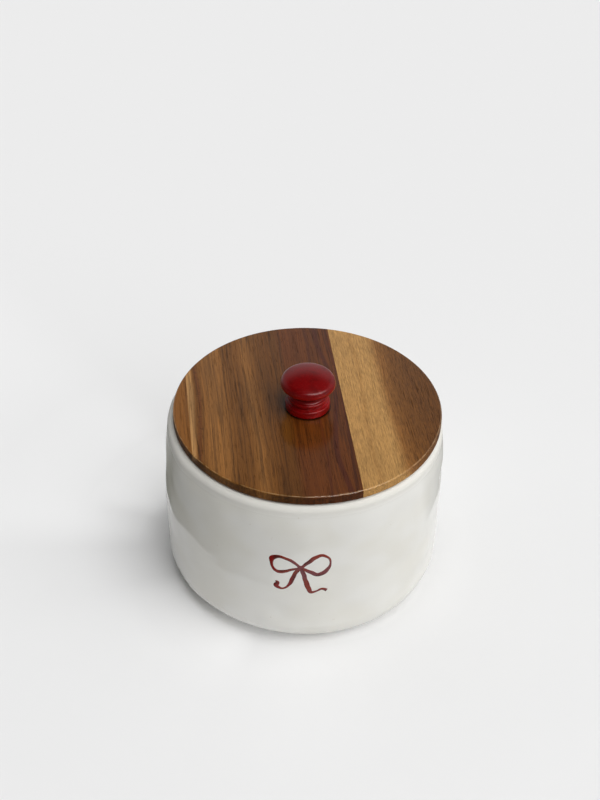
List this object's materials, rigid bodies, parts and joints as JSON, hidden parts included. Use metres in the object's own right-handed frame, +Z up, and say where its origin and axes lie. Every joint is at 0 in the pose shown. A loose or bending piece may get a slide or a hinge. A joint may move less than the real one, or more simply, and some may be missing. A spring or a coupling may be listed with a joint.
{
  "type": "lidded storage jar",
  "caption": "Round white glazed ceramic storage jar with a rounded base, a turned wooden plug lid of glued boards with a soft seal, and a red turned knob.",
  "frame": {"origin": "centre of the foot ring, on the surface that the jar stands on", "axes": "+Z up along the jar's turning axis, -Y towards the front, which carries the painted ornament"},
  "size_m": [0.15, 0.15, 0.1257],
  "materials": {
    "glaze": "gloss white glaze",
    "board_left": "oiled satin",
    "board_middle": "oiled satin",
    "board_right": "oiled satin",
    "seal": "matt translucent silicone",
    "red_lacquer": "semi-gloss red lacquer",
    "screw_steel": "bright zinc"
  },
  "bodies": {
    "jar": {"jar": "glaze"},
    "lid": {"lid_board_left": "board_left", "lid_board_middle": "board_middle", "lid_board_right": "board_right", "lid_seal": "seal", "knob": "red_lacquer", "knob_screw": "screw_steel"}
  },
  "joints": [
    {"name": "lid_lift", "type": "slide", "parent": "jar", "child": "lid", "axis": [0, 0, 1], "range_m": [0, 0.12]}
  ]
}
